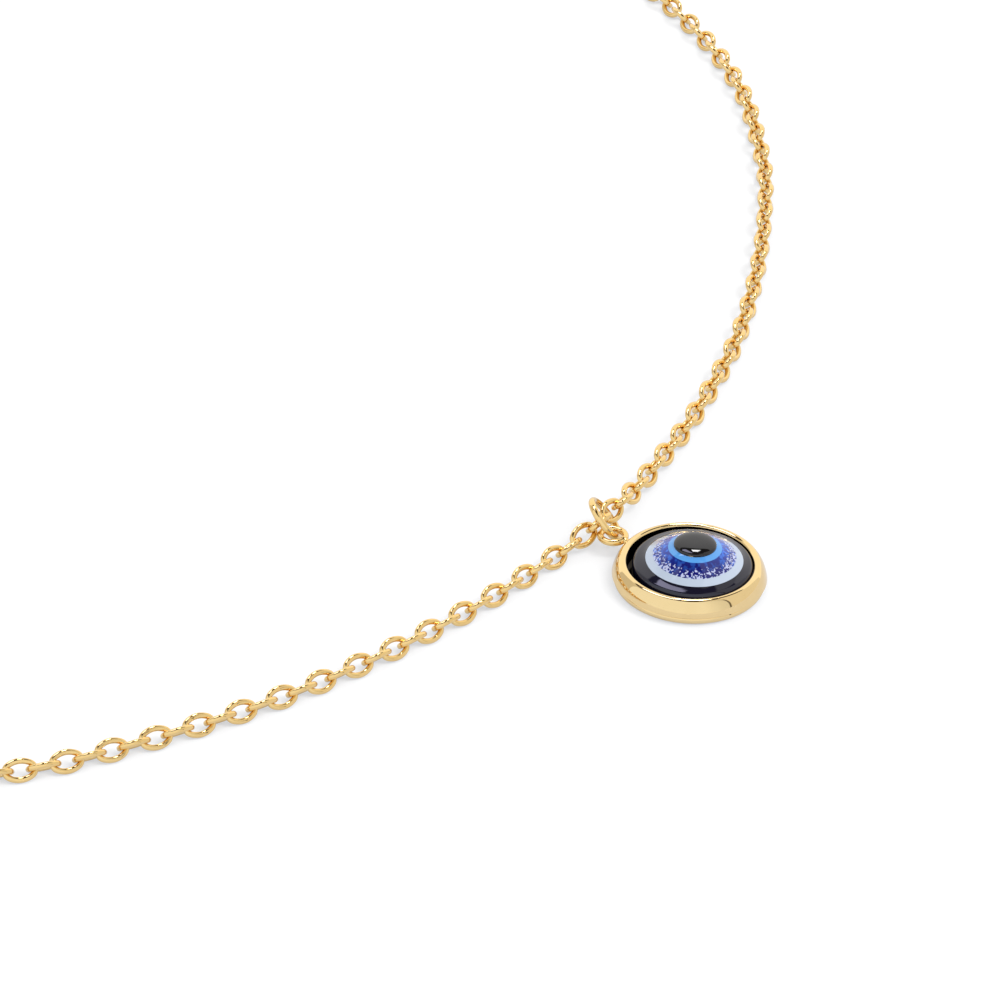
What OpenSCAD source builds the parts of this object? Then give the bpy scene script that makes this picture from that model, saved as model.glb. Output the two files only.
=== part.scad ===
// Evil eye pendant on a cable chain necklace, lying flat.
// Millimetres. The origin is the middle of the pendant's flat back, +Z is up,
// and the necklace lies on the plane z = 0.

/* [Bezel] */
// Outside diameter of the bezel's lower rim
bezel_d = 12; // [11.4:0.1:16]
// Height of the bezel from its flat back to its lip
bezel_h = 2.05; // [1.75:0.05:3]
// Width of the gold ring between the opening and the rim's outside
bezel_wall = 0.93; // [0.7:0.01:1.2]
// How far the band's foot stands out past the rim
band_out = 0.15; // [0.07:0.02:0.21]
// Slope of the band at its foot, from upright
band_slope = 12; // [4:2:20]
// Thickness of the bezel's flat back
back_t = 0.45; // [0.3:0.05:0.7]
// Distance from the opening to the crown of the rounded lip
lip_w = 0.28; // [0.2:0.02:0.28]
// Radius of the rounded lip
lip_r = 0.37; // [0.31:0.02:0.41]
// Height of the rounded lower rim, up to the band's foot
rim_h = 0.76; // [0.6:0.02:0.9]
// How far the rim rounds in under the band, which makes the crease between them
crease_t = 0.05; // [0.02:0.01:0.1]

/* [Glass eye] */
// Height of the glass above the pendant's flat back
eye_h = 4.15; // [3.6:0.05:5.2]
// Height that the glass falls to at the opening's radius
glass_edge_z = 2; // [1.7:0.02:2.06]
// Diameter of the white layer
white_d = 7.8; // [7.2:0.1:8]
// Diameter of the deep blue iris
iris_d = 6.6; // [6:0.1:6.7]
// Diameter of the light blue ring
light_d = 4.26; // [4.1:0.02:5]
// Diameter of the black pupil
pupil_d = 3.38; // [2.4:0.02:3.5]
// How far the pupil's edge stands above the glass round it
pupil_step = 0.08; // [0.04:0.02:0.2]
// Thickness of the glass under each inlaid layer
layer_t = 0.38; // [0.3:0.02:0.45]
// Depth of the white layer at its edge
white_t = 0.6; // [0.4:0.05:0.7]
// How far the eye is set off the middle of the bezel, right and forward
eye_shift = [0.3, -0.25]; // [-0.4:0.05:0.4]
// Gap between the glass and the gold, and between the glass layers
glass_gap = 0.04; // [0.02:0.01:0.08]

/* [Hanging loop] */
// Wire of the loop that is soldered to the bezel
loop_wire = 0.54; // [0.44:0.02:0.6]
// Play of the jump ring's wire inside the loop
loop_play = 0.86; // [0.82:0.02:1.1]
// Length of the soldered neck between the bezel and the loop
neck_l = 0.15; // [0.15:0.05:0.3]
// Direction of the loop, seen from above, measured from +X
loop_turn = 145; // [142:1:148]

/* [Jump ring] */
// Wire of the jump ring
jump_wire = 0.6; // [0.5:0.02:0.62]
// Play of a chain link inside the jump ring
jump_play = 1.1; // [1.04:0.02:1.3]
// Angle of the jump ring's axis above the floor
jump_lean = 38; // [36:1:40]
// Direction of the jump ring's axis, seen from above, measured from +X
jump_turn = 9; // [7:1:11]
// Space between the jump ring and the loop's wire where it passes below
pass_gap = 0.4; // [0.38:0.02:0.5]

/* [Chain] */
// Wire of a chain link
link_wire = 0.42; // [0.36:0.02:0.44]
// Length of the hole in a link
link_hole = 1.92; // [1.86:0.02:2.02]
// Width of a link outside
link_w = 1.9; // [1.84:0.02:2]
// Space between two linked wires
link_gap = 0.12; // [0.1:0.01:0.14]

/* [Clasp] */
// Outside diameter of the clasp's ring
clasp_d = 5.8; // [5.6:0.1:6.6]
// Thickness of the clasp's ring
clasp_wire = 1; // [0.8:0.05:1.1]
// Hole of the small eye on the clasp that the chain's last link holds
clasp_hole = 1.4; // [1.3:0.05:1.8]
// Wire of that small eye
clasp_eye_wire = 0.5; // [0.4:0.05:0.6]
// Hole of the end ring that the clasp closes on
end_hole = 3.2; // [3.1:0.05:3.6]
// Wire of the end ring
end_wire = 0.6; // [0.5:0.05:0.7]

/* [Hidden] */
$fn = 48;

// The clearance under the jump ring and the chain, and the lean of each link to the floor
floor_gap = 0.02;
lean = 45;

// Bezel: the radii of its rim and its opening, the lip's middle and outer end, the band's foot,
// and the point that the band bends towards, which keeps the band smooth with the lip
bezel_r = bezel_d / 2;
opening_r = bezel_r - bezel_wall;
rim_r = rim_h / 2;
lip_at = [opening_r + lip_w, bezel_h - lip_r];
lip_end = lip_at + lip_r * [cos(45), sin(45)];
foot = [bezel_r + band_out, rim_h];
to_bend = (lip_end.y - foot.y - foot.x + lip_end.x) / (cos(band_slope) - sin(band_slope));
bend = foot + to_bend * [-sin(band_slope), cos(band_slope)];

// Glass: a round bead that lies off the cup's middle and almost touches its wall, the radius of
// its shoulder and where that meets the dome, and the layers, each seated in the one before it
glass_r = opening_r - glass_gap - norm(eye_shift);
shoulder = 0.5;
dome_r = glass_r - shoulder / 2;
white_floor = dome_z(white_d / 2) - white_t;
iris_floor = white_floor + layer_t;
light_floor = iris_floor + layer_t;
pupil_floor = light_floor + layer_t;
pupil_edge_z = dome_z(pupil_d / 2) + pupil_step;

// Loop: its middle lies on the bezel's side, high enough for the jump ring to pass below
loop_hole = jump_wire + loop_play;
loop_r = (loop_hole + loop_wire) / 2;
loop_reach = bezel_r + neck_l + loop_wire + loop_hole / 2;
loop_z = floor_gap + jump_wire + pass_gap + loop_wire / 2;
loop_at = [loop_reach * cos(loop_turn), loop_reach * sin(loop_turn), loop_z];
neck_d = loop_wire + 0.1;

// Jump ring: it stands on the floor, and its wire goes down through the middle of the loop
jump_hole = link_w + jump_play;
jump_r = (jump_hole + jump_wire) / 2;
jump_z = jump_r * cos(jump_lean) + jump_wire / 2 + floor_gap;
drop = (loop_z - jump_z) / (jump_r * cos(jump_lean));
across = sqrt(1 - drop * drop);
jump_side = [-sin(jump_turn), cos(jump_turn)];
jump_rise = -sin(jump_lean) * [cos(jump_turn), sin(jump_turn)];
jump_at = [loop_at.x, loop_at.y] - jump_r * (drop * jump_rise - across * jump_side);

// Chain: oval links with two round ends, each leaning against the floor
link_pitch = link_hole - link_gap;
link_l = link_hole + 2 * link_wire;
bow_r = (link_w - link_wire) / 2;
bow_x = (link_l - link_w) / 2;
lie_z = bow_r * sin(lean) + link_wire / 2 + floor_gap;

// Clasp and end ring: the radii of their wires and the distances from middle to middle
clasp_r = (clasp_d - clasp_wire) / 2;
clasp_eye_r = (clasp_hole + clasp_eye_wire) / 2;
end_r = (end_hole + end_wire) / 2;
link_to_eye = (link_hole + clasp_hole) / 2 - link_gap;
eye_to_clasp = clasp_r + clasp_eye_r;
longest_hold = clasp_r + end_r - (clasp_wire + end_wire) / 2 - link_gap;
link_to_end = (link_hole + end_hole) / 2 - 1.4 * link_gap;
clasp_lift = clasp_r * sin(lean) + clasp_wire / 2 - lie_z;

// The chain's route, from above and counter-clockwise: x and y from the middle of the jump
// ring, and the lift of the chain's axis above its height where it lies flat
route = [
    [-0.54, -0.24, 0.83], [0.84, 1.8, 1.05], [3.03, 6.82, 0.3], [4.23, 9.66, 0.25],
    [6.6, 15.5, 0], [8.9, 22.1, 0], [11, 29.2, 0], [12.4, 36.3, 0], [13.4, 43.5, 0],
    [14, 50.8, 0], [14.2, 58.2, 0], [13.6, 65.6, 0], [12.6, 72.6, 0], [10.6, 79.6, 0],
    [7.6, 86.6, 0], [4, 92.9, 0], [-8.2, 104.3, 0], [-29.2, 110.5, 0], [-56, 105.1, 0],
    [-79, 84.8, 0], [-83.2, 77.8, clasp_lift], [-87.2, 70.6, clasp_lift], [-90.6, 63.3, 0],
    [-95.4, 45.3, 0], [-95.4, 20.3, 0], [-91.2, -1.7, 0], [-82.2, -20.7, 0], [-69.2, -32.7, 0],
    [-55.2, -36.6, 0], [-43.2, -34.8, 0], [-33.5, -30.1, 0], [-24.5, -24.4, 0],
    [-16.1, -17.4, 0], [-8.99, -10.18, 0], [-3.71, -3.87, 0.02], [-1.62, -1.42, 0.44]
];
stops = len(route);
steps = 8;

// A smooth closed curve through the route: at each point its slope weighs both chords,
// and the lift's slope is the harmonic mean of both, or level, so that it never dips
function stop(i) = route[(i + stops) % stops];
function chord(i) = stop(i + 1) - stop(i);
function climb(i) = chord(i).z / norm(chord(i));
function slope(i) =
    let (before = norm(chord(i - 1)),
         after = norm(chord(i)),
         way = (chord(i - 1) * after / before + chord(i) * before / after) / (before + after),
         rise = climb(i - 1) * climb(i))
    [way.x, way.y, rise > 0 ? 2 * rise / (climb(i - 1) + climb(i)) : 0];
function curve(i, u) =
    let (h = norm(chord(i)))
    stop(i) * (2 * u * u * u - 3 * u * u + 1) + stop(i + 1) * (3 * u * u - 2 * u * u * u)
    + slope(i) * h * (u * u * u - 2 * u * u + u) + slope(i + 1) * h * (u * u * u - u * u);
track = [for (i = [0:stops - 1], k = [0:steps - 1]) curve(i, k / steps), stop(0)];
run = [for (i = 0, s = 0; i < len(track);
            s = s + (i + 1 < len(track) ? norm(track[i + 1] - track[i]) : 0), i = i + 1) s];
track_l = run[len(run) - 1];
track_x = [for (i = [0:len(track) - 1]) [run[i], track[i].x]];
track_y = [for (i = [0:len(track) - 1]) [run[i], track[i].y]];
track_z = [for (i = [0:len(track) - 1]) [run[i], track[i].z]];
function spot(s) =
    let (w = s - track_l * floor(s / track_l))
    [jump_at.x + lookup(w, track_x), jump_at.y + lookup(w, track_y), lie_z + lookup(w, track_z)];

// Links: as many as the loop takes with the clasp drawn out, half of them on each side
joined_l = link_to_eye + eye_to_clasp + longest_hold + link_to_end;
link_n = ceil((track_l - joined_l) / link_pitch);
links_after = ceil(link_n / 2);
links_before = link_n - links_after;
function link_roll(i) = abs(i) % 2 == 1 ? lean : -lean;
end_s = links_after * link_pitch + link_to_end;
clasp_eye_s = track_l - links_before * link_pitch - link_to_eye;
clasp_s = clasp_eye_s - eye_to_clasp;
clasp_roll = -link_roll(links_before);
end_roll = link_roll(links_after) == clasp_roll ? -clasp_roll : 0;

// Height of the glass at a distance r from the middle of the eye
function dome_z(r) =
    glass_edge_z + (eye_h - glass_edge_z) * pow(max(0, 1 - pow(r / opening_r, 2)), 1.9);
// Height of the pupil's rounded top at a distance r from its middle
function pupil_z(r) =
    pupil_edge_z + (eye_h - pupil_edge_z) * sqrt(max(0, 1 - pow(2 * r / pupil_d, 2.6)));
// Points of the glass surface from the radius a out to the radius b
function dome_arc(a, b, n) = [for (k = [0:n]) let (r = a + (b - a) * k / n) [r, dome_z(r)]];
// Points of an elliptic arc about c, with half axes a and b, from one angle to another
function arc(c, a, b, from, to, n) =
    [for (k = [0:n]) let (t = from + (to - from) * k / n) c + [a * cos(t), b * sin(t)]];

// A ring of round wire, lying flat about the origin
module wire_ring(r, wire) {
    rotate_extrude() translate([r, 0]) circle(d = wire);
}

// One oval link along X: two half rings and two straight sides
module oval_link() {
    for (turn = [0, 180])
        rotate(turn) {
            translate([bow_x, 0, 0]) rotate(-90) rotate_extrude(angle = 180)
                translate([bow_r, 0]) circle(d = link_wire);
            translate([-bow_x, bow_r, 0]) rotate([0, 90, 0])
                cylinder(h = 2 * bow_x, d = link_wire);
        }
}

// Sets its children at the place s on the route, along it over span and turned about it
module on_route(s, span, roll) {
    way = spot(s + span / 2) - spot(s - span / 2);
    translate(spot(s))
        rotate([roll, -atan2(way.z, norm([way.x, way.y])), atan2(way.y, way.x)]) children();
}

// Gold cup: flat back, rounded lower rim, crease, convex band and lip
module bezel_cup() {
    rotate_extrude()
        polygon(concat(
            [[0, 0]],
            arc([bezel_r - rim_r, rim_r], rim_r, rim_r, -90, acos(1 - crease_t / rim_r), 8),
            [for (t = [0:0.1:0.9])
                (1 - t) * (1 - t) * foot + 2 * t * (1 - t) * bend + t * t * lip_end],
            arc(lip_at, lip_r, lip_r, 45, 180 - acos(lip_w / lip_r), 8),
            [[opening_r, back_t], [0, back_t]]));
}

// The cup with its soldered neck and loop
module bezel() {
    color("gold") {
        bezel_cup();
        translate(loop_at) wire_ring(loop_r, loop_wire);
        rotate(loop_turn) translate([bezel_r - loop_wire, 0, loop_z]) rotate([0, 90, 0])
            cylinder(h = loop_reach - loop_r - bezel_r + loop_wire, d = neck_d);
    }
}

// A body of glass about the eye's middle: its foot and side, the dome from the radius a in to
// the radius b, and the seat of the layer that is inlaid in it
module glass_body(side, a, b, seat) {
    translate([eye_shift.x, eye_shift.y, 0]) rotate_extrude()
        polygon(concat(side, [for (k = [8:-1:0]) dome_arc(b, a, 8)[k]], [[b, seat], [0, seat]]));
}

// A layer with an upright side
module glass_layer(outer_r, floor_z, inlay_r, inlay_floor) {
    glass_body([[0, floor_z], [outer_r, floor_z]], outer_r, inlay_r, inlay_floor);
}

// Navy glass: it lies in the cup, has a rounded shoulder and a seat for the white layer
module eye_base() {
    color("midnightblue") glass_body(
        concat(
            [[0, back_t + glass_gap], [glass_r, back_t + glass_gap]],
            arc([glass_r - shoulder, dome_z(dome_r) - shoulder * sin(60)], shoulder, shoulder,
                0, 55, 5)),
        dome_r, white_d / 2 + glass_gap, white_floor - glass_gap);
}

module eye_white() {
    color("white") glass_layer(white_d / 2, white_floor, iris_d / 2 + glass_gap,
        iris_floor - glass_gap);
}

module eye_iris() {
    color("mediumblue") glass_layer(iris_d / 2, iris_floor, light_d / 2 + glass_gap,
        light_floor - glass_gap);
}

module eye_light_ring() {
    color("lightskyblue") glass_layer(light_d / 2, light_floor, pupil_d / 2 + glass_gap,
        pupil_floor - glass_gap);
}

// Black dot with a rounded edge
module eye_pupil() {
    color("black") translate([eye_shift.x, eye_shift.y, 0]) rotate_extrude()
        polygon(concat(
            [[0, pupil_floor], [pupil_d / 2, pupil_floor]],
            [for (k = [10:-1:0]) let (r = pupil_d / 2 * sin(9 * k)) [r, pupil_z(r)]]));
}

module jump_ring() {
    color("gold") translate([jump_at.x, jump_at.y, jump_z])
        rotate([0, 90 - jump_lean, jump_turn]) wire_ring(jump_r, jump_wire);
}

module chain() {
    color("gold") for (i = [-links_before:links_after])
        on_route(i * link_pitch, link_pitch, link_roll(i)) oval_link();
}

// Closed ring with a small eye for the chain's last link
module clasp() {
    color("gold") on_route(clasp_s, clasp_r, clasp_roll) {
        wire_ring(clasp_r, clasp_wire);
        translate([eye_to_clasp, 0, 0]) wire_ring(clasp_eye_r, clasp_eye_wire);
    }
}

module end_ring() {
    color("gold") on_route(end_s, end_r, end_roll) wire_ring(end_r, end_wire);
}

bezel();
eye_base();
eye_white();
eye_iris();
eye_light_ring();
eye_pupil();
jump_ring();
chain();
clasp();
end_ring();
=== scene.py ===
# %% [markdown]
# # A gold evil eye pendant on a fine cable chain
# The necklace lies on a white table. Its gold is polished, and its eye is a dome of coloured
# glass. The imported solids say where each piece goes, and every cell below gives one piece, or
# one finish, its real look. Sizes are in millimetres and angles in degrees, unless a comment
# says otherwise.

# %% Load the fixed frame
import bpy
import numpy as np
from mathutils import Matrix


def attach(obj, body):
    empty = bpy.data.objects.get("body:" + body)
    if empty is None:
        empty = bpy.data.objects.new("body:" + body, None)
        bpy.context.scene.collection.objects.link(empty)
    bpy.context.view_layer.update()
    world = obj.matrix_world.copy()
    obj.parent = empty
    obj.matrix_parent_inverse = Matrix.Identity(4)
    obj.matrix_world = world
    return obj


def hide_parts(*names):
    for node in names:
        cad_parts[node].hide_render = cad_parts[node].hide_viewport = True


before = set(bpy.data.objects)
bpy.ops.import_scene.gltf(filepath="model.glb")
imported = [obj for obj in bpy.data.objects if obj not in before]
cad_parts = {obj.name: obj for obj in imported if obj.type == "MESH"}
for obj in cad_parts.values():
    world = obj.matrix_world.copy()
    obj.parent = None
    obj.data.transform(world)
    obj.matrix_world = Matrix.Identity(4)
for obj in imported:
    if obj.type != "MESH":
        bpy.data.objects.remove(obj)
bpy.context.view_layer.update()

MM = 0.001

# %% [markdown]
# ## The camera
# The photograph was taken with a long lens from the front, looking down by about a third of a
# right angle, with the camera rolled a little. The place, tilt and focal length were worked out
# from the round bezel's ellipse and from the even spacing of the chain's links. A camera
# matrix is three directions: to the right, up, and back towards the photographer.

# %% Camera at the photograph's angle
PHOTO_PX = 1000
FOCAL_PX = 4950
SENSOR = 36
CAMERA_AT = np.array([-15.178, -322.925, 221.699]) * MM
PITCH, ROLL = np.radians(33.6), np.radians(2.1)
NEAREST, FARTHEST = 0.01, 10  # in metres

level_right = np.array([1.0, 0.0, 0.0])
level_up = np.array([0.0, np.sin(PITCH), np.cos(PITCH)])
camera_axes = np.eye(4)
camera_axes[:3, 0] = np.cos(ROLL) * level_right + np.sin(ROLL) * level_up
camera_axes[:3, 1] = np.cos(ROLL) * level_up - np.sin(ROLL) * level_right
camera_axes[:3, 2] = np.array([0.0, -np.cos(PITCH), np.sin(PITCH)])
camera_axes[:3, 3] = CAMERA_AT

camera = bpy.data.objects.new("camera", bpy.data.cameras.new("camera"))
camera.data.sensor_width = SENSOR
camera.data.lens = SENSOR * FOCAL_PX / PHOTO_PX
camera.data.clip_start, camera.data.clip_end = NEAREST, FARTHEST
camera.matrix_world = camera_axes.T
bpy.context.scene.collection.objects.link(camera)
bpy.context.scene.camera = camera
print("lens in mm:", round(camera.data.lens, 1))


# %% [markdown]
# ## Small helpers
# Blender's materials, its world light and its node groups are all trees of nodes, so the same
# few helpers build them all. The last helper puts a finished mesh in the scene.

# %% Node helpers
def add_node(tree, kind, inputs=None, **settings):
    """Adds one node. Each input is a plain value, or a socket that gets a link to it."""
    node = tree.nodes.new("ShaderNode" + kind)
    for key, value in settings.items():
        setattr(node, key, value)
    for key, value in (inputs or {}).items():
        if isinstance(value, bpy.types.NodeSocket):
            tree.links.new(value, node.inputs[key])
        else:
            node.inputs[key].default_value = value
    return node


def math_node(tree, operation, a, b=0.0):
    """The result of one operation on two values."""
    return add_node(tree, "Math", {0: a, 1: b}, operation=operation).outputs[0]


def total(tree, first, *others):
    """The sum of several values."""
    for value in others:
        first = math_node(tree, "ADD", first, value)
    return first


def product(tree, first, *others):
    """The product of several values."""
    for value in others:
        first = math_node(tree, "MULTIPLY", first, value)
    return first


def soft_step(tree, value, low, high):
    """0 below low, 1 above high, and a smooth rise between them."""
    return add_node(tree, "MapRange", {"Value": value, "From Min": low, "From Max": high},
                    interpolation_type="SMOOTHSTEP").outputs["Result"]


def mix_colours(tree, factor, a, b):
    """Colour a where the factor is 0, and colour b where it is 1."""
    a, b = (c if isinstance(c, bpy.types.NodeSocket) else (*c, 1) for c in (a, b))
    return add_node(tree, "Mix", {0: factor, 6: a, 7: b}, data_type="RGBA").outputs[2]


def object_place(tree):
    """The place on the object, in metres."""
    return add_node(tree, "TexCoord").outputs["Object"]


# %% Scene helper
def link_piece(mesh, material, nodes):
    """Puts a finished mesh in the scene as the look of the CAD nodes that it stands for."""
    piece = bpy.data.objects.new(mesh.name, mesh)
    bpy.context.scene.collection.objects.link(piece)
    mesh.materials.append(material)
    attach(piece, "root")
    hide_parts(*nodes)
    print(f"{mesh.name}: {len(mesh.polygons)} faces")


# %% [markdown]
# ## Studio light
# Polished metal and glass show their surroundings, so the studio is painted as a sky of soft
# boxes, each given by its turn to the right and by its elevation. A large one stands in front
# and lights the bezel's band. Between it and the one on the right is a narrow dark gap, which
# the photograph shows as a thin dark line on the band and along the chain's wires. The space
# overhead is dark, but for two lights behind: a small bright lamp, which gives the white spots
# on the pupil and on the lip, and a bluish panel, which gives the pale patch on the navy glass.
# Only reflections show this sky. The table gets plain soft light, and a wide soft lamp on the
# right gives it faint shadows towards the left.

# %% Sky of soft boxes
TURN_SOFTNESS, RISE_SOFTNESS = 0.6, 0.01  # half of an edge's blur, in degrees and as a sine
ROOM = (0.075, 0.055, 0.035)

sky = bpy.data.worlds.new("studio")
sky.use_nodes = True
tree = sky.node_tree
tree.nodes.clear()
direction = add_node(tree, "TexCoord").outputs["Generated"]
towards = add_node(tree, "SeparateXYZ", {0: direction}).outputs
turn_from = {
    "front": math_node(tree, "ARCTAN2", towards["X"], product(tree, towards["Y"], -1.0)),
    "back": math_node(tree, "ARCTAN2", towards["X"], towards["Y"])}


def soft_box(side, middle, half_width, low, high, light):
    """The light of one soft box: full within its width and between its lowest and highest
    elevation, and zero elsewhere. Its turn is measured from the front or from the back."""
    turn = math_node(tree, "SUBTRACT", turn_from[side], np.radians(middle))
    off_middle = math_node(tree, "ABSOLUTE", turn)
    inside = soft_step(tree, off_middle, np.radians(half_width + TURN_SOFTNESS),
                       np.radians(half_width - TURN_SOFTNESS))
    for edge, blur in ((low, RISE_SOFTNESS), (high, -RISE_SOFTNESS)):
        rise = np.sin(np.radians(edge))
        inside = product(tree, inside, soft_step(tree, towards["Z"], rise - blur, rise + blur))
    return product(tree, inside, light)


# %% The studio's boxes
# Columns: measured from, middle, half width, lowest, highest, light
PLAIN_BOXES = (
    ("front", -110.5, 15.5, -2, 48, 0.65),  # on the left
    ("front", 78.25, 16.75, -2, 80, 0.86),  # on the right
    ("front", 110.5, 15.5, -2, 68, 0.86),  # on the right, further back
    ("back", 0, 54, -2, 50, 1.15),  # behind
    ("back", 5, 9, 56, 66, 20.0))  # the small lamp behind, high up
FRONT_BOX, FRONT_TINT = ("front", -18, 77, -2, 68, 1.0), (0.99, 1.05, 1.16)
PANEL, PANEL_TINT = ("back", -39, 20, 57, 80, 4.4), (0.9, 0.87, 1.22)
FADE_FROM, FADE_TO, FADE = 20, 59, 0.2  # the front box loses this share towards its right end

plain = total(tree, *(soft_box(*box) for box in PLAIN_BOXES))
fading = soft_step(tree, turn_from["front"], np.radians(FADE_FROM), np.radians(FADE_TO))
front = product(tree, soft_box(*FRONT_BOX), total(tree, product(tree, fading, -FADE), 1.0))
studio = ROOM
for amount, tint in ((plain, (1.0, 1.0, 1.0)), (front, FRONT_TINT), (soft_box(*PANEL), PANEL_TINT)):
    share = add_node(tree, "VectorMath", {0: tint, "Scale": amount}, operation="SCALE").outputs[0]
    studio = add_node(tree, "VectorMath", {0: studio, 1: share}, operation="ADD").outputs[0]

in_reflection = add_node(tree, "LightPath").outputs["Is Glossy Ray"]
light = add_node(tree, "Background", {"Color": mix_colours(tree, in_reflection, (1, 1, 1), studio)})
add_node(tree, "OutputWorld", {"Surface": light.outputs[0]})
bpy.context.scene.world = sky
print("soft boxes:", len((*PLAIN_BOXES, FRONT_BOX, PANEL)))

# %% Lamp for the table, and the picture's plain tone curve
LAMP_WIDTH, LAMP_ENERGY = 32, 1.0
LAMP_FROM = np.array([0.6, -0.15, 1.0])

lamp = bpy.data.objects.new("table_lamp", bpy.data.lights.new("table_lamp", "SUN"))
lamp.data.energy = LAMP_ENERGY
lamp.data.angle = np.radians(LAMP_WIDTH)
lamp.visible_glossy = False
across = np.cross((0, 1, 0), LAMP_FROM)
lamp_axes = np.eye(4)
lamp_axes[:3, 0] = across / np.linalg.norm(across)
lamp_axes[:3, 2] = LAMP_FROM / np.linalg.norm(LAMP_FROM)
lamp_axes[:3, 1] = np.cross(lamp_axes[:3, 2], lamp_axes[:3, 0])
lamp.matrix_world = lamp_axes.T
bpy.context.scene.collection.objects.link(lamp)
bpy.context.scene.view_settings.view_transform = "Standard"
bpy.context.scene.view_settings.look = "None"
print("lamp shines from", lamp_axes[:3, 2].round(2))


# %% [markdown]
# ## Surfaces from numbers
# Every new surface here is a grid of points worked out by numpy for all its points at once.
# Faces are smooth, and the few rings of points where the real edge is crisp are marked sharp, so
# that the polish breaks there.

# %% Mesh helpers
def mesh_from(name, points, quads, triangles=(), sharp_rows=None, row_size=1):
    """A closed mesh from all its points and faces.

    Edges whose two ends lie in the same sharp row of points are marked sharp.
    """
    points = np.asarray(points, np.float32)
    quads = np.asarray(quads, np.int32).reshape(-1, 4)
    triangles = np.asarray(triangles, np.int32).reshape(-1, 3)
    mesh = bpy.data.meshes.new(name)
    mesh.vertices.add(len(points))
    mesh.vertices.foreach_set("co", points.ravel())
    corners = np.concatenate([quads.ravel(), triangles.ravel()])
    mesh.loops.add(len(corners))
    mesh.loops.foreach_set("vertex_index", corners)
    mesh.polygons.add(len(quads) + len(triangles))
    mesh.polygons.foreach_set("loop_start", np.concatenate(
        [4 * np.arange(len(quads)),
         4 * len(quads) + 3 * np.arange(len(triangles))]).astype(np.int32))
    mesh.polygons.foreach_set("use_smooth", np.ones(len(mesh.polygons), bool))
    mesh.update(calc_edges=True)
    if sharp_rows is not None:
        ends = np.zeros(2 * len(mesh.edges), np.int32)
        mesh.edges.foreach_get("vertices", ends)
        rows = ends.reshape(-1, 2) // row_size
        sharp = (rows[:, 0] == rows[:, 1]) & np.isin(rows[:, 0], sharp_rows)
        mesh.attributes.new("sharp_edge", "BOOLEAN", "EDGE").data.foreach_set("value", sharp)
    mesh.validate()
    return mesh


def coordinates(mesh):
    """The places of a mesh's points, in metres."""
    places = np.zeros(3 * len(mesh.vertices), np.float32)
    mesh.vertices.foreach_get("co", places)
    return places.reshape(-1, 3)


def joined(name, meshes):
    """One mesh that holds the points and faces of several, which are all of quads."""
    points, quads, first = [], [], 0
    for mesh in meshes:
        corners = np.zeros(len(mesh.loops), np.int32)
        mesh.loops.foreach_get("vertex_index", corners)
        points.append(coordinates(mesh))
        quads.append(corners.reshape(-1, 4) + first)
        first += len(mesh.vertices)
        bpy.data.meshes.remove(mesh)
    return mesh_from(name, np.vstack(points), np.vstack(quads))


# %% Grids, arcs and turned shapes
def whole_turn(count):
    """Evenly spaced angles round a circle, in radians."""
    return np.arange(count) * 2 * np.pi / count


def grid_quads(rows, columns, wrap_rows=False):
    """Faces of a grid of points that is closed round its columns, and also round its rows
    where wrap_rows says so. Each face joins a point, the next in its row, and the two above."""
    last = rows if wrap_rows else rows - 1
    i, j = np.meshgrid(np.arange(last), np.arange(columns), indexing="ij")
    up, on = (i + 1) % rows, (j + 1) % columns
    corners = [i * columns + j, i * columns + on, up * columns + on, up * columns + j]
    return np.stack(corners, -1).reshape(-1, 4)


def turned(name, profile, segments, sharp, centre=(0, 0)):
    """A solid turned on a lathe.

    The profile is a list of radius and height pairs, from the bottom of the axis round the
    outside to the top of the axis. Each point is carried round a circle: x is the radius times
    the cosine of the turn, y is the radius times the sine, and z is the height. The profile's
    points whose numbers are in sharp become crisp rings.
    """
    profile = np.asarray(profile, float)
    rings, turn = profile[1:-1], whole_turn(segments)
    x, y = (c + rings[:, :1] * way for c, way in zip(centre, (np.cos(turn), np.sin(turn))))
    grid = np.stack([x, y, rings[:, 1:] + 0 * turn], -1).reshape(-1, 3)
    poles = [[*centre, profile[0, 1]], [*centre, profile[-1, 1]]]
    bottom, top = len(grid), len(grid) + 1
    here = np.arange(segments)
    after, lift = (here + 1) % segments, (len(rings) - 1) * segments
    fans = np.concatenate([np.stack([0 * here + bottom, after, here], 1),
                           np.stack([0 * here + top, lift + here, lift + after], 1)])
    return mesh_from(name, np.vstack([grid, poles]) * MM, grid_quads(len(rings), segments), fans,
                     np.array(sharp) - 1, segments)


def arc(centre, radius, start, end, count):
    """Points on a circle between two angles."""
    angle = np.radians(np.linspace(start, end, count))[:, None]
    return np.array(centre) + np.hstack([np.cos(angle), np.sin(angle)]) * radius


# %% [markdown]
# ## Hand polish
# Cast gold that was polished by hand isn't a perfect mirror: its surface waves a little, and its
# polish is finer in some spots than in others. This node group gives both, and each metal and
# glass material uses it with its own values.

# %% Node group: hand polish
GRAIN_HEIGHT = 0.04  # as a share of the wave's

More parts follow.
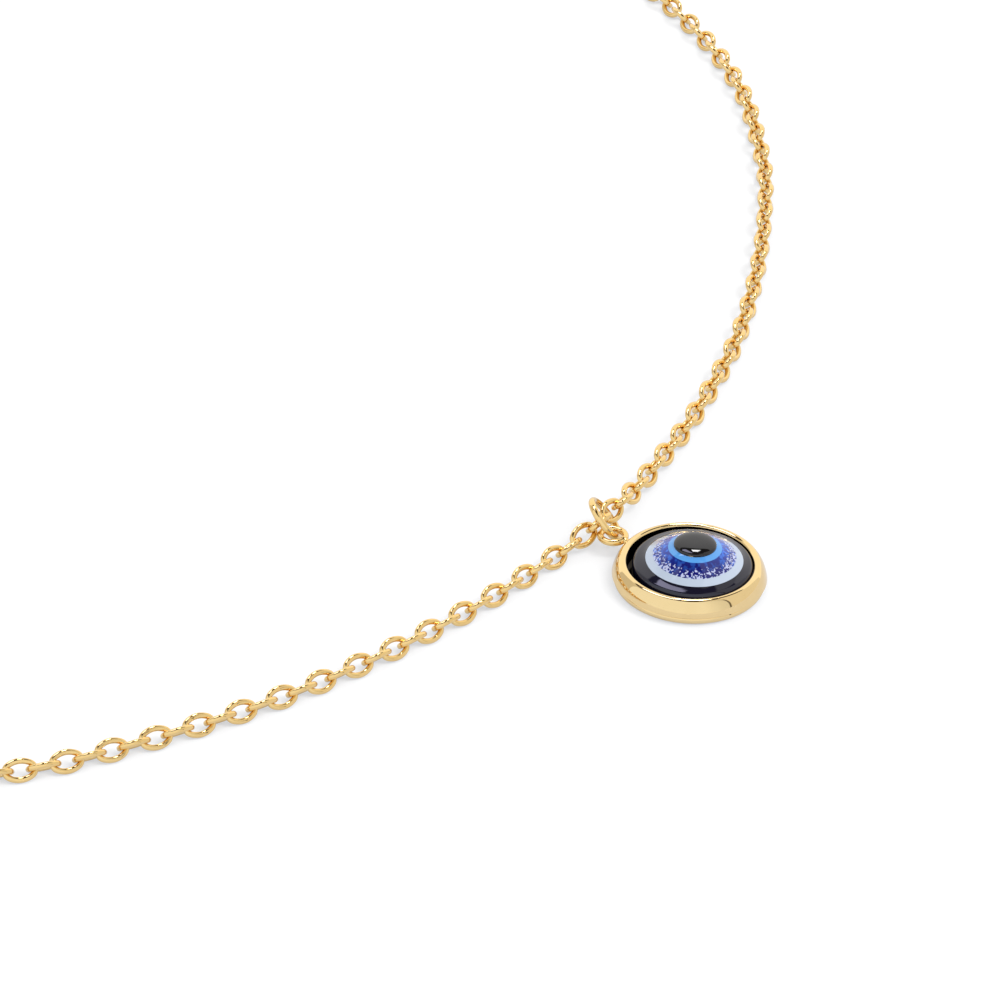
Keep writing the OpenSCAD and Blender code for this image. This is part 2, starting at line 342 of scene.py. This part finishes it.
polish = bpy.data.node_groups.new("hand_polish", "ShaderNodeTree")
for label, kind, value in (("Vector", "NodeSocketVector", (0, 0, 0)),
                           ("Wave Scale", "NodeSocketFloat", 900.0),
                           ("Grain Scale", "NodeSocketFloat", 9000.0),
                           ("Smoothness", "NodeSocketFloat", 0.06),
                           ("Spread", "NodeSocketFloat", 0.03)):
    polish.interface.new_socket(name=label, in_out="INPUT", socket_type=kind).default_value = value
for label in ("Roughness", "Height", "Cloud"):
    polish.interface.new_socket(name=label, in_out="OUTPUT", socket_type="NodeSocketFloat")
given = polish.nodes.new("NodeGroupInput").outputs
result = polish.nodes.new("NodeGroupOutput").inputs
wave, grain = (add_node(polish, "TexNoise", {"Vector": given["Vector"], "Scale": given[scale],
                                             "Detail": detail}).outputs["Fac"]
               for scale, detail in (("Wave Scale", 2.0), ("Grain Scale", 3.0)))
uneven = product(polish, math_node(polish, "SUBTRACT", grain, 0.5), given["Spread"])
for label, socket in (("Roughness", total(polish, uneven, given["Smoothness"])),
                      ("Height", total(polish, wave, product(polish, grain, GRAIN_HEIGHT))),
                      ("Cloud", wave)):
    polish.links.new(socket, result[label])


def new_material(name, wave_scale, grain_scale, smoothness, spread, bump=0.0):
    """A material whose Principled shader has the hand polish, with its bump in metres.

    Gives the material, its tree, its shader and the polish's cloud.
    """
    material = bpy.data.materials.new(name)
    material.use_nodes = True
    tree = material.node_tree
    tree.nodes.clear()
    shader = add_node(tree, "BsdfPrincipled")
    add_node(tree, "OutputMaterial", {"Surface": shader.outputs[0]})
    node = tree.nodes.new("ShaderNodeGroup")
    node.node_tree = polish
    tree.links.new(object_place(tree), node.inputs["Vector"])
    for label, value in (("Wave Scale", wave_scale), ("Grain Scale", grain_scale),
                         ("Smoothness", smoothness), ("Spread", spread)):
        node.inputs[label].default_value = value
    tree.links.new(node.outputs["Roughness"], shader.inputs["Roughness"])
    if bump:
        normal = add_node(tree, "Bump", {"Height": node.outputs["Height"], "Strength": 1.0,
                                         "Distance": bump})
        tree.links.new(normal.outputs["Normal"], shader.inputs["Normal"])
    return material, tree, shader, node.outputs["Cloud"]


# %% Polished gold
GOLD_POLISH = {"wave_scale": 1100.0, "grain_scale": 12000.0, "smoothness": 0.06, "spread": 0.03}
THROWN_LIGHT = (0.72, 0.72, 0.72)
# Painted shade: the near black that fills the gap between the cup and the glass.
GAP_SHADE = (0.012, 0.009, 0.006)


def gold_finish(name, light_gold, deep_gold, bump, gap_shade_r=0.0, gap_shade_top=0.0):
    """Yellow gold plating: a metal whose colour drifts between a light and a deep gold.

    The photograph's shadows are neutral, so the light that the gold throws on the table is too.
    Within the given radius and below the given height, the metal is painted near black:
    painted shade in the gap between the cup and the glass.
    """
    material, tree, shader, cloud = new_material(name, **GOLD_POLISH, bump=bump)
    colour = mix_colours(tree, cloud, light_gold, deep_gold)
    on_table = add_node(tree, "LightPath").outputs["Is Diffuse Ray"]
    colour = mix_colours(tree, on_table, colour, THROWN_LIGHT)
    if gap_shade_r:
        # Painted shade: near black where the gold meets the glass, inside the cup.
        place = add_node(tree, "SeparateXYZ", {0: object_place(tree)}).outputs
        squares = total(tree, *(product(tree, place[axis], place[axis]) for axis in "XY"))
        r = math_node(tree, "SQRT", squares)
        inside = product(tree, math_node(tree, "LESS_THAN", r, gap_shade_r * MM),
                         math_node(tree, "LESS_THAN", place["Z"], gap_shade_top * MM))
        colour = mix_colours(tree, inside, colour, GAP_SHADE)
    tree.links.new(colour, shader.inputs["Base Color"])
    shader.inputs["Metallic"].default_value = 1.0
    return material


# %% [markdown]
# ## The bezel
# The real bezel is a shallow cast cup: a flat back, a rounded lower rim, a fine crease, a full
# band, and a rounded lip pressed over the glass. A turned profile is the natural way to make it.
# The crisp places in the profile are its sharp rings.

# %% Bezel cup profile
BEZEL_R, OPENING_R, BEZEL_H, BACK_T = 6.0, 5.07, 2.05, 0.45
RIM_R, CREASE, BAND_OUT, BAND_SLOPE = 0.38, 0.05, 0.15, np.radians(12)
LIP_W, LIP_R, LIP_END, WALL_TOP = 0.28, 0.37, 45, 1.4
BACK_R, CHAMFER = 3, 0.02  # a ring of points part way across the flat back, and small bevels
# Painted shade in the gap reaches just past the opening's wall and up to under the lip.
GAP_SHADE_R, GAP_SHADE_TOP = OPENING_R * 1.002, 1.86  # just past the opening's wall, to under the lip
BEZEL_SEGMENTS = 256


def bezel_profile():
    """Flat back, half-round rim, crease, band and lip, and the profile's sharp rings.

    The band starts at its foot with its slope, and bends until it meets the rounded lip, which is
    turned half way over there. A point of it is the mix of the foot, of the point where the lines
    of both ends cross, and of the lip's end, in the shares of (1 - t) squared, 2 t (1 - t) and
    t squared.
    """
    lip_at = np.array([OPENING_R + LIP_W, BEZEL_H - LIP_R])
    foot, top = np.array([BEZEL_R + BAND_OUT, 2 * RIM_R]), lip_at + LIP_R * np.sqrt(0.5)
    reach = (top[1] - foot[1] - foot[0] + top[0]) / (np.cos(BAND_SLOPE) - np.sin(BAND_SLOPE))
    bend = foot + reach * np.array([-np.sin(BAND_SLOPE), np.cos(BAND_SLOPE)])
    t = np.linspace(0, 1, 32)[:-1, None]
    band = (1 - t) ** 2 * foot + 2 * t * (1 - t) * bend + t ** 2 * top
    crease_at = np.degrees(np.arccos(1 - CREASE / RIM_R))
    rim = arc((BEZEL_R - RIM_R, RIM_R), RIM_R, -90, crease_at, 18)
    lip = arc(lip_at, LIP_R, LIP_END, 180 - np.degrees(np.arccos(LIP_W / LIP_R)), 20)
    inside = np.array([[OPENING_R, WALL_TOP], [OPENING_R, BACK_T + CHAMFER],
                       [OPENING_R - CHAMFER, BACK_T], [0, BACK_T]])
    flat = np.array([[0, 0], [BACK_R, 0], [BEZEL_R - RIM_R - CHAMFER, 0]])
    crease = len(flat) + len(rim)
    sharp = (crease - 1, crease, crease + len(band) + len(lip) - 1)
    return np.vstack([flat, rim, band, lip, inside]), sharp


bezel_gold = gold_finish("bezel_gold", (0.85, 0.645, 0.32), (0.81, 0.60, 0.285), 2e-6,
                         GAP_SHADE_R, GAP_SHADE_TOP)
profile, sharp = bezel_profile()
link_piece(turned("bezel_cup", profile, BEZEL_SEGMENTS, sharp), bezel_gold, ["bezel"])


# %% [markdown]
# ## Rings of wire
# Jump rings, loops and chain links are all round wire that closes on itself. A flat closed path
# is enough: at each point of the path, a small circle stands across it. The wire's place in space
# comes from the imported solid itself: its middle, and the three directions in which its surface
# spreads most, less and least.

# %% Read where a solid lies
SAME_PLACE = 1e-7  # in metres


def solid_parts(node):
    """Each loose solid of a node: the corners and the areas of its triangles.

    Points at one place count as one, and each point takes the lowest number among the triangles
    round it until nothing changes, so that every solid ends with one number.
    """
    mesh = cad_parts[node].data
    mesh.calc_loop_triangles()
    index = np.zeros(3 * len(mesh.loop_triangles), np.int32)
    mesh.loop_triangles.foreach_get("vertices", index)
    index = index.reshape(-1, 3)
    points = coordinates(mesh).astype(float)
    places = np.round(points / SAME_PLACE).astype(np.int64)
    faces = np.unique(places, axis=0, return_inverse=True)[1].ravel()[index]
    label = np.arange(faces.max() + 1)
    while True:
        new = label.copy()
        np.minimum.at(new, faces.ravel(), np.repeat(label[faces].min(1), 3))
        new = new[new]
        if (new == label).all():
            break
        label = new
    corners = points[index]
    normals = np.cross(corners[:, 1] - corners[:, 0], corners[:, 2] - corners[:, 0])
    part = np.unique(label[faces[:, 0]], return_inverse=True)[1].ravel()
    return corners, np.linalg.norm(normals, axis=1) / 2, part


def solid_frames(node):
    """Middle, directions and half sizes of each loose solid of a node.

    The directions are those of the area-weighted spread of its surface, longest first. The middle
    is halfway between its ends along each direction.
    """
    corners, area, part = solid_parts(node)
    corners = corners / MM
    count, centres = part.max() + 1, corners.mean(1)
    sums = np.stack([np.bincount(part, area * centres[:, k], count) for k in range(3)], 1)
    mean = sums / np.bincount(part, area, count)[:, None]
    off = centres - mean[part]
    spread = np.stack([np.bincount(part, area * off[:, a] * off[:, b], count)
                       for a in range(3) for b in range(3)], 1).reshape(-1, 3, 3)
    axes = np.linalg.eigh(spread)[1][:, :, ::-1]
    axes[:, :, 2] = np.cross(axes[:, :, 0], axes[:, :, 1])
    along = np.einsum("tkc,tca->tka", corners - mean[part][:, None], axes[part])
    low, high = np.full((count, 3), np.inf), np.full((count, 3), -np.inf)
    for k in range(3):
        np.minimum.at(low, part, along[:, k])
        np.maximum.at(high, part, along[:, k])
    return mean + np.einsum("nca,na->nc", axes, (low + high) / 2), axes, (high - low) / 2


# %% Closed wires
wire_gold = gold_finish("wire_gold", (0.88, 0.64, 0.28), (0.80, 0.54, 0.20), 5e-6)


def wires(name, path, outward, wire_r, centres, axes, around):
    """Copies of one flat closed wire, one in each frame.

    The path is a list of points in the plane, with its outward direction at each. A point of the
    wire is the path's point, plus the wire's radius times the cosine of an angle along the
    outward direction, plus the radius times the sine across the plane.
    """
    angle = whole_turn(around)
    flat = path[:, None] + wire_r * np.cos(angle)[None, :, None] * outward[:, None]
    rise = np.broadcast_to(wire_r * np.sin(angle)[None, :, None], flat.shape[:2] + (1,))
    shape = np.concatenate([flat, rise], -1).reshape(-1, 3)
    points = centres[:, None] + np.einsum("nca,pa->npc", axes, shape)
    faces = grid_quads(len(path), around, wrap_rows=True)[:, ::-1]
    first = len(shape) * np.arange(len(centres))
    quads = (faces[None] + first[:, None, None]).reshape(-1, 4)
    return mesh_from(name, points.reshape(-1, 3) * MM, quads)


def circle_path(radius, count, middle=(0, 0)):
    """A circle, and its outward direction at each point."""
    turn = whole_turn(count)
    outward = np.stack([np.cos(turn), np.sin(turn)], 1)
    return np.array(middle) + radius * outward, outward


# %% Jump ring and end ring
RING_SIDES = 32

for node, segments in (("jump_ring", 160), ("end_ring", 96)):
    centres, axes, half = solid_frames(node)
    wire_r = half[0, 2]
    ring_r = half[0, :2].mean() - wire_r
    path = circle_path(ring_r, segments)
    ring = wires("polished_" + node, *path, wire_r, centres, axes, RING_SIDES)
    link_piece(ring, wire_gold, [node])
    print(f"{node}: radius {ring_r:.2f} mm, wire {2 * wire_r:.2f} mm")

# %% [markdown]
# ## The chain
# Each link of a cable chain is an oval of round wire, a quarter turn round from its neighbours.
# There are over two hundred of them, so they are all copies of one small grid, set in the frames
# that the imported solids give. The links that the photograph shows get a finer grid than those of
# the rest of the loop.

# %% Chain links
LINK_WIRE_R, LINK_END_R = 0.235, 0.79
VIEW_MARGIN_PX = 60


def oval_path(half_length, half_width, bend_r, count):
    """An oval of four bends: a tight one round each end, and a wide one along each side.

    The wide bend's middle lies past the link's middle. Its distance from there follows from the
    two circles touching where they meet: half of the bend's offset squared over the difference
    of half width and bend radius, less half of that difference.
    """
    bend_x, spare = half_length - bend_r, half_width - bend_r
    drop = (bend_x ** 2 / spare - spare) / 2
    meet = np.arctan2(drop, bend_x)
    share = np.arange(count) / count
    turn = np.concatenate([meet * (2 * share - 1), meet + (np.pi - 2 * meet) * share])
    outward = np.stack([np.cos(turn), np.sin(turn)], 1)
    middle = np.repeat([[bend_x, 0], [0, -drop]], count, 0)
    path = middle + np.repeat([bend_r, half_width + drop], count)[:, None] * outward
    return np.vstack([path, -path]), np.vstack([outward, -outward])


centres, axes, half = solid_frames("chain")
print("links:", len(centres), "half sizes in mm:", half.mean(0).round(3))
half_length, half_width = half.mean(0)[:2] - LINK_WIRE_R
seen_from = np.linalg.inv(camera_axes) @ np.vstack([centres.T * MM, np.ones(len(centres))])
off_middle_px = np.abs(seen_from[:2] / seen_from[2] * FOCAL_PX).max(0)
in_view = off_middle_px < PHOTO_PX / 2 + VIEW_MARGIN_PX
# Columns: name, which links, points in each of the four bends, points round the wire
for name, some, points, around in (("chain_near", in_view, 12, 14),
                                   ("chain_far", ~in_view, 8, 10)):
    oval = oval_path(half_length, half_width, LINK_END_R - LINK_WIRE_R, points)
    links = wires(name, *oval, LINK_WIRE_R, centres[some], axes[some], around)
    link_piece(links, wire_gold, ["chain"])

# %% [markdown]
# ## Clasp
# The clasp is out of the picture, so it stays plain: a closed ring of thick wire with a small eye,
# both in one plane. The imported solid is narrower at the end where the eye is.

# %% Clasp
CLASP_R, CLASP_WIRE_R, CLASP_SIDES = 2.4, 0.5, 28
CLASP_EYE_R, CLASP_EYE_WIRE_R = 0.95, 0.25
END_DEPTH = 0.6

centres, axes, half = solid_frames("clasp")
local = (solid_parts("clasp")[0].reshape(-1, 3) / MM - centres[0]) @ axes[0]
far_end = local[:, 0] > half[0, 0] - END_DEPTH
near_end = local[:, 0] < END_DEPTH - half[0, 0]
eye_side = 1 if np.ptp(local[far_end, 1]) < np.ptp(local[near_end, 1]) else -1
ring_x = -eye_side * (half[0, 0] - CLASP_R - CLASP_WIRE_R)
eye_x = ring_x + eye_side * (CLASP_R + CLASP_EYE_R)
# Columns: radius, points, middle, wire radius
shells = [wires("shell", *circle_path(radius, count, (x, 0)), wire_r, centres, axes, CLASP_SIDES)
          for radius, count, x, wire_r in ((CLASP_R, 120, ring_x, CLASP_WIRE_R),
                                           (CLASP_EYE_R, 72, eye_x, CLASP_EYE_WIRE_R))]
link_piece(joined("polished_clasp", shells), wire_gold, ["clasp"])

# %% [markdown]
# ## Hanging loop
# The loop is a ring of wire soldered to the side of the cup. The solder makes a short neck that
# flares into both.

# %% Loop and neck
LOOP_AT, LOOP_R, LOOP_WIRE_R = np.array([-6.078, 4.256, 1.29]), 1.0, 0.27
NECK_START, NECK_END, NECK_R, NECK_FLARE = 5.72, 6.5, 0.27, 0.11
NECK_ROWS, LOOP_POINTS, LOOP_SIDES, CAP_R = 24, 120, 28, 1e-3

away = np.array([LOOP_AT[0], LOOP_AT[1], 0]) / np.hypot(*LOOP_AT[:2])
aside = np.array([-away[1], away[0], 0])


def neck_of_solder():
    """A short round bar, thinner in the middle and wider at both ends, closed by its two caps.

    The radius is the waist's, plus the flare times the square of the distance from the middle.
    """
    u = np.linspace(-1, 1, NECK_ROWS)
    radius = NECK_R + NECK_FLARE * u ** 2
    radius[[0, -1]] = CAP_R
    along = (NECK_START + (NECK_END - NECK_START) * (u + 1) / 2)[:, None, None]
    turn = whole_turn(LOOP_SIDES)[:, None]
    ring = np.cos(turn) * aside + np.sin(turn) * np.array([0, 0, 1])
    points = along * away + np.array([0, 0, LOOP_AT[2]]) + radius[:, None, None] * ring
    return mesh_from("neck", points.reshape(-1, 3) * MM, grid_quads(NECK_ROWS, LOOP_SIDES))


path = circle_path(LOOP_R, LOOP_POINTS)
loop = wires("loop", *path, LOOP_WIRE_R, LOOP_AT[None], np.eye(3)[None], LOOP_SIDES)
link_piece(joined("hanging_loop", [loop, neck_of_solder()]), wire_gold, ["bezel"])

# %% [markdown]
# ## The glass eye
# The eye is built up from layers of coloured glass, each melted into the one below, so the dome is
# one smooth surface and only the black pupil stands proud. All layers share one formula for the
# dome's height, so their reflections run on from one to the next.

# %% Dome formula and layer sizes
EYE_AT, BEAD_AT, BEAD_R = np.array([0.3, -0.25]), np.array([0.2, -0.12]), 4.78
EYE_H, EDGE_Z, GLASS_R, SHOULDER, DOME_POWER = 4.15, 2.0, 4.639, 0.5, 1.9
WHITE_R, IRIS_R, LIGHT_R, PUPIL_R = 3.87, 3.3, 2.13, 1.69
WHITE_T, LAYER_T, SEAM, SEAT_GAP, BEAD_GAP = 0.6, 0.38, 0.003, 0.01, 0.04
LAYER_SEGMENTS, LAYER_RINGS = 192, 40


def dome_z(r):
    """Height of the dome: the edge height, plus the rise times one minus the square of the radius
    as a share of the opening's, raised to the dome's power."""
    return EDGE_Z + (EYE_H - EDGE_Z) * np.maximum(0, 1 - (r / OPENING_R) ** 2) ** DOME_POWER


floors = dome_z(WHITE_R) - WHITE_T + LAYER_T * np.arange(4)
print("layer floors in mm:", floors.round(2))


def glass_layer(name, outer, floor_z, inner, inner_floor):
    """A layer turned round the eye's middle: flat floor, dome outside, and a seat for the next."""
    foot = [[0, floor_z], [outer - CHAMFER, floor_z], [outer, floor_z + CHAMFER]]
    top = np.linspace(outer, inner, LAYER_RINGS)
    seat = [[inner, inner_floor], [0, inner_floor]]
    profile = np.vstack([foot, np.stack([top, dome_z(top)], 1), seat])
    seat_at = len(foot) + len(top)
    return turned(name, profile, LAYER_SEGMENTS, (len(foot), seat_at - 1, seat_at), EYE_AT)


# %% Navy base
BLEND_START = WHITE_R + 0.1


def navy_base():
    """A bead that lies in the cup: floor, upright side, rounded shoulder, dome and a seat.

    The shoulder is a sixth of a circle, which meets the dome at half its radius from the side.
    Outside the white layer, each ring's middle moves towards the bead's and its radius grows to
    the bead's, by a share that rises smoothly from the white layer's edge.
    """
    meet, floor_z = GLASS_R - SHOULDER / 2, BACK_T + BEAD_GAP
    side = np.array([[0, floor_z], [GLASS_R - CHAMFER, floor_z], [GLASS_R, floor_z + CHAMFER]])
    shoulder_at = (GLASS_R - SHOULDER, dome_z(meet) - SHOULDER * np.sin(np.pi / 3))
    shoulder = arc(shoulder_at, SHOULDER, 0, 57, 16)
    top = np.linspace(meet, WHITE_R + SEAM, 16)
    seat = [[WHITE_R + SEAM, floors[0] - SEAT_GAP], [0, floors[0] - SEAT_GAP]]
    profile = np.vstack([side, shoulder, np.stack([top, dome_z(top)], 1), seat])
    seat_at = len(profile) - len(seat)
    sharp = (len(side) - 1, seat_at - 1, seat_at)
    mesh = turned("navy_base", profile, BEZEL_SEGMENTS, sharp, EYE_AT)
    places = coordinates(mesh)
    off = places[:, :2] / MM - EYE_AT
    far = np.hypot(*off.T)
    share = np.clip((far - BLEND_START) / (GLASS_R - BLEND_START), 0, 1)
    share = (share * share * (3 - 2 * share))[:, None]
    outward = off / np.maximum(far, 1e-6)[:, None]
    places[:, :2] += share * (BEAD_AT - EYE_AT + (BEAD_R - GLASS_R) * outward) * MM
    mesh.vertices.foreach_set("co", places.ravel())
    mesh.update()
    return mesh


# %% [markdown]
# ### Colours in the glass
# The glass is opaque, with a clear glossy skin. The iris is the lively part: deep blue near the
# light ring, with pools of azure, and towards the white it breaks up into white specks among
# dark blue ones. A cell texture gives each small cell random numbers, and a cell is white where
# its number is under a chance that grows with the distance from the eye's middle. Painted shade
# darkens the iris's front: there its blue is darker, with fewer azure pools and white specks,
# and its sides and far part are painted lighter.

# %% Glass materials
GLASS_POLISH = {"wave_scale": 500.0, "grain_scale": 6000.0, "smoothness": 0.045, "spread": 0.02,
                "bump": 1.5e-6}
GLASS_IOR = 1.52


def glass_finish(name, colour, cloud_colour):
    """Opaque glossy glass whose colour drifts a little, like poured glass."""
    material, tree, shader, cloud = new_material(name, **GLASS_POLISH)
    tree.links.new(mix_colours(tree, cloud, colour, cloud_colour), shader.inputs["Base Color"])
    shader.inputs["IOR"].default_value = GLASS_IOR
    return material


navy_glass = glass_finish("navy_glass", (0.004, 0.004, 0.011), (0.007, 0.007, 0.020))
white_glass = glass_finish("white_glass", (0.43, 0.50, 0.61), (0.47, 0.54, 0.65))
light_glass = glass_finish("light_blue_glass", (0.07, 0.28, 0.68), (0.11, 0.35, 0.74))
black_glass = glass_finish("black_glass", (0.004, 0.004, 0.005), (0.006, 0.006, 0.007))

# %% Iris material
# Painted shade: the iris's front is painted a darker blue than its sides and far part.
SHADED_FRONT_BLUE, LIT_SIDE_BLUE, AZURE = (0.006, 0.008, 0.12), (0.016, 0.045, 0.36), (0.03, 0.18, 0.76)
DARK_SPECK, WHITE_SPECK = (0.008, 0.010, 0.15), (0.46, 0.50, 0.72)
CELLS_PER_MM, SPECK_EDGE = 10.0, (-0.01, 0.03)
DARK_ZONE, WHITE_ZONE = (2.45, 2.9), (2.4, 3.25)  # distances where the specks begin and are full
SHADED_FRONT_TO_LIT_SIDE, POOL_EDGE = (-2.8, 0.4), (0.46, 0.60)
# The specks and pools are the glass's own pattern; their thinning in front is painted shade.
POOL_SHARE, WHITE_CHANCE, DARK_CHANCE = (0.2, 0.7), (0.43, 0.14), 0.5  # in front, and more beside
WOBBLE, WOBBLES_PER_MM, POOLS_PER_MM = 0.5, 1.3, 2.6


def iris_finish():
    """Deep blue glass with azure pools, and white and dark specks in its outer half."""
    material, tree, shader, _ = new_material("iris_glass", **GLASS_POLISH)
    flat = add_node(tree, "Mapping", {"Vector": object_place(tree), "Scale": (1 / MM, 1 / MM, 0),
                                      "Location": (*-EYE_AT, 0)}).outputs["Vector"]
    wobble, pools = (
        add_node(tree, "TexNoise", {"Vector": flat, "Scale": scale, "Detail": 2.0}).outputs["Fac"]
        for scale in (WOBBLES_PER_MM, POOLS_PER_MM))
    r = total(tree, add_node(tree, "VectorMath", {0: flat}, operation="LENGTH").outputs["Value"],
              product(tree, math_node(tree, "SUBTRACT", wobble, 0.5), WOBBLE))
    cells = add_node(tree, "TexVoronoi", {"Vector": flat, "Scale": CELLS_PER_MM, "Randomness": 1.0},
                     voronoi_dimensions="2D")
    number = add_node(tree, "SeparateColor", {0: cells.outputs["Color"]}).outputs
    ahead = add_node(tree, "SeparateXYZ", {0: flat}).outputs["Y"]
    # Painted shade: this share grows from the iris's darker front to its lighter sides and far
    # part.
    lit_side_share = soft_step(tree, ahead, *SHADED_FRONT_TO_LIT_SIDE)
    pool_share, white_chance = (total(tree, product(tree, lit_side_share, more), in_front)
                                for in_front, more in (POOL_SHARE, WHITE_CHANCE))
    azure = product(tree, soft_step(tree, pools, *POOL_EDGE), pool_share)
    dark = product(tree, soft_step(tree, r, *DARK_ZONE),
                   math_node(tree, "LESS_THAN", number[1], DARK_CHANCE))
    chance = product(tree, soft_step(tree, r, *WHITE_ZONE), white_chance)
    white = soft_step(tree, math_node(tree, "SUBTRACT", chance, number[0]), *SPECK_EDGE)
    colour = mix_colours(tree, lit_side_share, SHADED_FRONT_BLUE, LIT_SIDE_BLUE)
    for share, other in ((azure, AZURE), (dark, DARK_SPECK), (white, WHITE_SPECK)):
        colour = mix_colours(tree, share, colour, other)
    tree.links.new(colour, shader.inputs["Base Color"])
    shader.inputs["IOR"].default_value = GLASS_IOR
    return material


iris_glass = iris_finish()

# %% Eye layers
link_piece(navy_base(), navy_glass, ["eye_base"])
RADII = (WHITE_R, IRIS_R, LIGHT_R, PUPIL_R)
for k, (name, material, node, slot) in enumerate((
        ("white_layer", white_glass, "eye_white", "white_glass"),
        ("iris_layer", iris_glass, "eye_iris", "blue_glass"),
        ("light_layer", light_glass, "eye_light_ring", "light_blue_glass"))):
    layer = glass_layer(name, RADII[k], floors[k], RADII[k + 1] + SEAM, floors[k + 1] - SEAT_GAP)
    link_piece(layer, material, [node])

# %% [markdown]
# ### The pupil
# The pupil is a drop of black glass. Its crown is flatter than a ball's: the height above its
# edge is the rise times the root of one minus the radius, as a share of the pupil's, raised to
# the crown's power.

# %% Pupil
PUPIL_STEP, CROWN_POWER, CROWN_RINGS, PUPIL_SEGMENTS = 0.08, 2.6, 40, 160

edge_z = dome_z(PUPIL_R) + PUPIL_STEP
radius = PUPIL_R * np.sin(np.radians(np.linspace(90, 0, CROWN_RINGS)))
rise = np.sqrt(np.maximum(0, 1 - (radius / PUPIL_R) ** CROWN_POWER))
crown = np.stack([radius, edge_z + (EYE_H - edge_z) * rise], 1)
foot = [[0, floors[3]], [PUPIL_R - CHAMFER, floors[3]], [PUPIL_R, floors[3] + CHAMFER]]
pupil = turned("pupil", np.vstack([foot, crown]), PUPIL_SEGMENTS, (1, 2), EYE_AT)
link_piece(pupil, black_glass, ["eye_pupil"])

# %% [markdown]
# ## The table
# A wide round white sheet, lit so that it comes out white, as in the photograph. It glows a
# little of itself, which keeps the shadows on it pale. Seen in the gold and the glass it is
# painted a little darker and bluer, as painted shade, which darkens the band near its foot.

# %% Table
PAPER, PAPER_CLOUD, PAPER_SHADED_IN_METAL = (0.93, 0.93, 0.93), (0.95, 0.95, 0.95), (0.80, 0.81, 0.88)
PAPER_POLISH = {"wave_scale": 40.0, "grain_scale": 900.0, "smoothness": 0.9, "spread": 0.05}
PAPER_GLOW, PAPER_SHEEN = 0.4, 0.1
TABLE_R, TABLE_Z, TABLE_SIDES = 1.6, -1e-5, 96  # in metres

path, _ = circle_path(TABLE_R, TABLE_SIDES)
table = bpy.data.meshes.new("table")
table.from_pydata([(x, y, TABLE_Z) for x, y in path], [], [range(TABLE_SIDES)])
paper, tree, shader, cloud = new_material("table_paper", **PAPER_POLISH)
in_metal = add_node(tree, "LightPath").outputs["Is Glossy Ray"]
# Painted shade: in reflections the paper is painted darker and bluer than it is.
shown = mix_colours(tree, in_metal, mix_colours(tree, cloud, PAPER, PAPER_CLOUD), PAPER_SHADED_IN_METAL)
tree.links.new(mix_colours(tree, PAPER_GLOW, shown, (0, 0, 0)), shader.inputs["Base Color"])
tree.links.new(shown, shader.inputs["Emission Color"])
shader.inputs["Emission Strength"].default_value = PAPER_GLOW
shader.inputs["Specular IOR Level"].default_value = PAPER_SHEEN
table.materials.append(paper)
table_top = bpy.data.objects.new("table", table)
bpy.context.scene.collection.objects.link(table_top)
